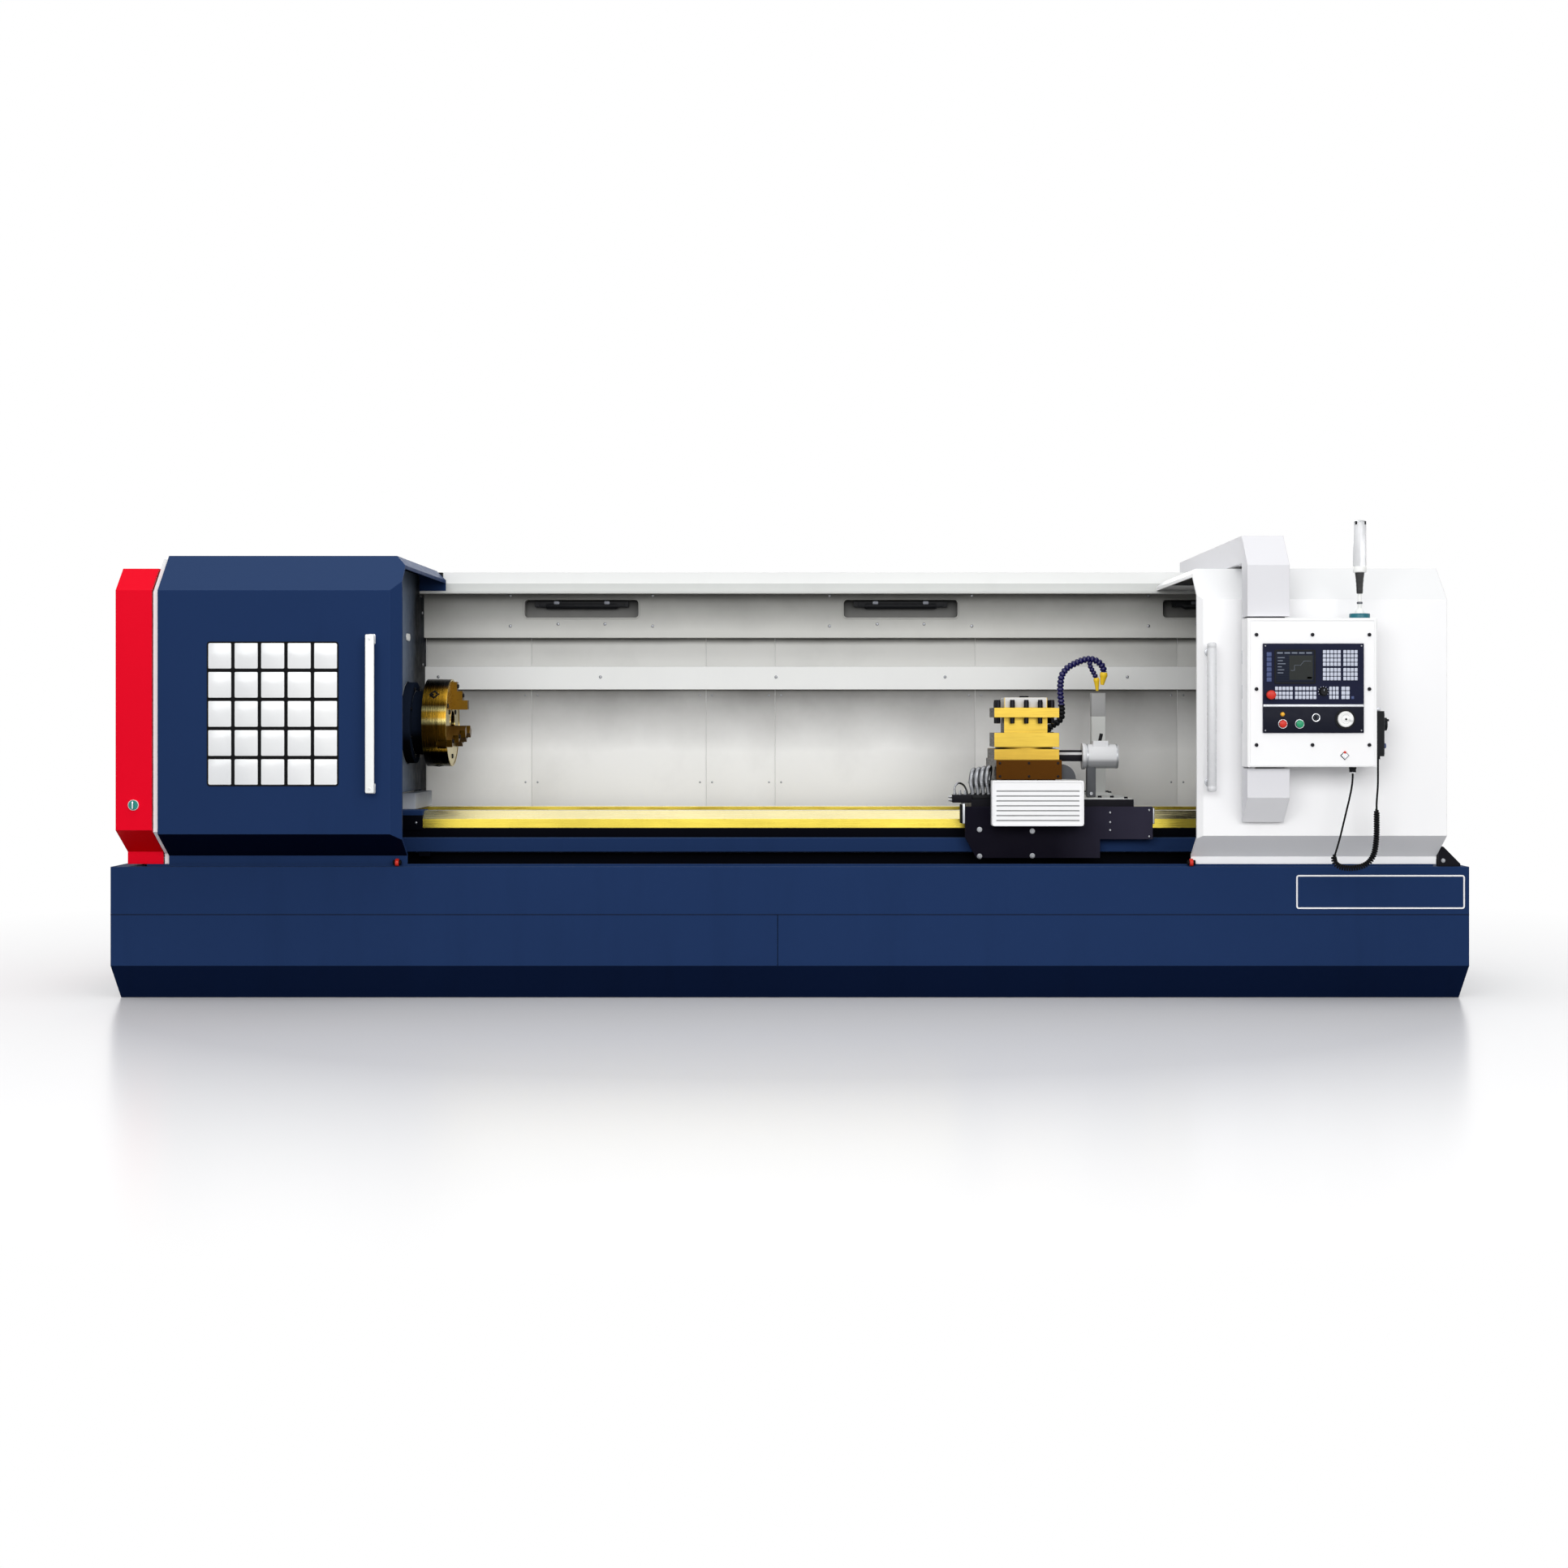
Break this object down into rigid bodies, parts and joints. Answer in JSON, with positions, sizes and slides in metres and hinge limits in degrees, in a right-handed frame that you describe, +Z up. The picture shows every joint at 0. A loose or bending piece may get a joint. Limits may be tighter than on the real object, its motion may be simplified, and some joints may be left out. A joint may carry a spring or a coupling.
{
  "type": "cnc turning lathe",
  "caption": "Long flat-bed CNC turning lathe with chuck, tool turret, tailstock, sliding splash guards and a swivelling control box.",
  "frame": {"origin": "on the floor under the middle of the base's length, below the bed", "axes": "+X along the spindle from the chuck to the tailstock, +Y to the rear, +Z up"},
  "size_m": [6, 1.9501, 2.088],
  "materials": {
    "navy_paint": "satin powder coat",
    "dark_navy_paint": "satin powder coat",
    "white_paint": "satin powder coat",
    "light_grey_paint": "satin paint",
    "red_paint": "satin powder coat",
    "black_paint": "satin paint",
    "motor_paint": "satin paint",
    "gold_ways": "ground and oiled",
    "gold_chuck": "turned",
    "turret_gold": "gloss coat",
    "bronze_slide": "oiled",
    "steel": "ground",
    "aluminium": "satin",
    "chrome": "polished",
    "cast_iron": "machined",
    "rubber": "matt",
    "pane": "clear sheet, white behind",
    "black_plastic": "moulded",
    "panel": "membrane front",
    "red_plastic": "moulded",
    "green_plastic": "moulded",
    "white_plastic": "moulded",
    "hose_blue": "moulded segments",
    "teal": "gloss",
    "lens": "clear ribbed lens"
  },
  "bodies": {
    "machine": {"bed": "navy_paint", "plinth": "dark_navy_paint", "skirt_panels": "navy_paint", "chip_tray": "navy_paint", "guideways": "gold_ways", "headstock": "light_grey_paint", "end_frame": "white_paint", "chuck_wall": "black_paint", "spindle_motor": "motor_paint", "drive_belts": "rubber", "rear_guard": "white_paint", "light_box": "light_grey_paint", "work_lamps": "black_plastic", "door_rail": "white_paint", "electrical_cabinet": "white_paint", "screw_cover": "navy_paint", "z_servo_motor": "black_paint", "pendant_arm": "white_paint"},
    "spindle": {"spindle": "steel", "spindle_pulley": "cast_iron", "chuck_body": "gold_chuck"},
    "jaw_1": {"chuck_jaw_1": "gold_chuck"},
    "jaw_2": {"chuck_jaw_2": "gold_chuck"},
    "jaw_3": {"chuck_jaw_3": "gold_chuck"},
    "motor_pulley": {"motor_pulley": "cast_iron"},
    "end_cover": {"end_cover": "red_paint"},
    "cover_lock": {"end_cover_lock": "teal"},
    "left_door": {"left_door": "navy_paint", "window_pane": "pane", "window_grid": "black_plastic", "left_handle": "white_plastic"},
    "right_door": {"right_door": "white_paint", "right_handle": "chrome"},
    "ball_screw": {"ball_screw": "steel"},
    "carriage": {"saddle": "black_paint", "apron": "black_paint", "coolant_post": "light_grey_paint", "carriage_conduits": "steel", "motor_cover": "white_paint"},
    "cross_slide": {"cross_slide": "bronze_slide", "turret_base": "turret_gold", "turret_motor": "aluminium", "coolant_hoses": "hose_blue"},
    "turret": {"turret_head": "turret_gold"},
    "tailstock": {"tailstock": "light_grey_paint"},
    "quill": {"quill": "steel"},
    "tail_handwheel": {"tailstock_handwheel": "black_plastic"},
    "control_box": {"control_box": "white_paint", "cnc_panel": "panel", "mpg_handset": "black_plastic", "cord_leads": "rubber", "cord_curl": "rubber", "beacon": "lens"},
    "emergency_stop": {"emergency_stop": "red_plastic"},
    "green_button": {"green_button": "green_plastic"},
    "red_button": {"red_button": "red_plastic"},
    "key_switch": {"key_switch": "chrome"},
    "panel_handwheel": {"panel_handwheel": "white_plastic"},
    "feed_knob": {"feed_knob": "black_plastic"},
    "mpg_dial": {"mpg_dial": "black_plastic"}
  },
  "joints": [
    {"name": "spindle_spin", "type": "hinge", "parent": "machine", "child": "spindle", "pos_m": [-1.8, -0.2, 1.215], "axis": [1, 0, 0], "continuous": true},
    {"name": "motor_pulley_spin", "type": "hinge", "parent": "machine", "child": "motor_pulley", "pos_m": [-2.7, 0.15, 0.98], "axis": [1, 0, 0], "continuous": true},
    {"name": "jaw_1_slide", "type": "slide", "parent": "spindle", "child": "jaw_1", "axis": [0, 0, 1], "range_m": [-0.018, 0.03]},
    {"name": "jaw_2_slide", "type": "slide", "parent": "spindle", "child": "jaw_2", "axis": [0, -0.866, -0.5], "range_m": [-0.018, 0.03]},
    {"name": "jaw_3_slide", "type": "slide", "parent": "spindle", "child": "jaw_3", "axis": [0, 0.866, -0.5], "range_m": [-0.018, 0.03]},
    {"name": "end_cover_hinge", "type": "hinge", "parent": "machine", "child": "end_cover", "pos_m": [-2.777, 0.299, 1.2], "axis": [0, 0, 1], "range_deg": [-95, 0]},
    {"name": "cover_lock_turn", "type": "hinge", "parent": "end_cover", "child": "cover_lock", "pos_m": [-2.8565, -1.065, 0.858], "axis": [0, 1, 0], "range_deg": [0, 90]},
    {"name": "left_door_slide", "type": "slide", "parent": "machine", "child": "left_door", "axis": [1, 0, 0], "range_m": [0, 1.69]},
    {"name": "right_door_slide", "type": "slide", "parent": "machine", "child": "right_door", "axis": [1, 0, 0], "range_m": [-1.77, 0]},
    {"name": "carriage_slide", "type": "slide", "parent": "machine", "child": "carriage", "axis": [1, 0, 0], "range_m": [-2.35, 0.25]},
    {"name": "ball_screw_spin", "type": "hinge", "parent": "machine", "child": "ball_screw", "pos_m": [0, -0.562, 0.645], "axis": [1, 0, 0], "continuous": true},
    {"name": "cross_feed", "type": "slide", "parent": "carriage", "child": "cross_slide", "axis": [0, 1, 0], "range_m": [-0.12, 0.22]},
    {"name": "turret_index", "type": "hinge", "parent": "cross_slide", "child": "turret", "pos_m": [1.082, -0.376, 1.15], "axis": [0, 0, 1], "continuous": true},
    {"name": "tailstock_slide", "type": "slide", "parent": "machine", "child": "tailstock", "axis": [1, 0, 0], "range_m": [-0.33, 0.03]},
    {"name": "tail_handwheel_turn", "type": "hinge", "parent": "tailstock", "child": "tail_handwheel", "pos_m": [2.6, -0.2, 1.215], "axis": [-1, 0, 0], "range_deg": [0, 10800]},
    {"name": "quill_slide", "type": "slide", "parent": "tailstock", "child": "quill", "axis": [-1, 0, 0], "range_m": [0, 0.15]},
    {"name": "box_swivel", "type": "hinge", "parent": "machine", "child": "control_box", "pos_m": [1.99, -1.1951, 1.35], "axis": [0, 0, 1], "range_deg": [-75, 0]},
    {"name": "emergency_stop_press", "type": "slide", "parent": "control_box", "child": "emergency_stop", "axis": [0, 1, 0], "range_m": [0, 0.008]},
    {"name": "green_button_press", "type": "slide", "parent": "control_box", "child": "green_button", "axis": [0, 1, 0], "range_m": [0, 0.004], "stiffness_N_per_m": 800},
    {"name": "red_button_press", "type": "slide", "parent": "control_box", "child": "red_button", "axis": [0, 1, 0], "range_m": [0, 0.004], "stiffness_N_per_m": 800},
    {"name": "key_turn", "type": "hinge", "parent": "control_box", "child": "key_switch", "pos_m": [2.25, -1.2681, 1.239], "axis": [0, 1, 0], "range_deg": [0, 60]},
    {"name": "panel_handwheel_turn", "type": "hinge", "parent": "control_box", "child": "panel_handwheel", "pos_m": [2.374, -1.2681, 1.232], "axis": [0, 1, 0], "continuous": true},
    {"name": "feed_knob_turn", "type": "hinge", "parent": "control_box", "child": "feed_knob", "pos_m": [2.281, -1.2681, 1.35], "axis": [0, 1, 0], "range_deg": [-135, 135]},
    {"name": "mpg_dial_turn", "type": "hinge", "parent": "control_box", "child": "mpg_dial", "pos_m": [2.561, -1.1951, 1.211], "axis": [1, 0, 0], "continuous": true}
  ],
  "couplings": [
    {"joint": "motor_pulley_spin", "follows": "spindle_spin", "ratio": 1.625},
    {"joint": "jaw_2_slide", "follows": "jaw_1_slide", "ratio": 1},
    {"joint": "jaw_3_slide", "follows": "jaw_1_slide", "ratio": 1},
    {"joint": "ball_screw_spin", "follows": "carriage_slide", "rad_per_m": 523.6},
    {"joint": "quill_slide", "follows": "tail_handwheel_turn", "m_per_rad": 0.00079577}
  ]
}
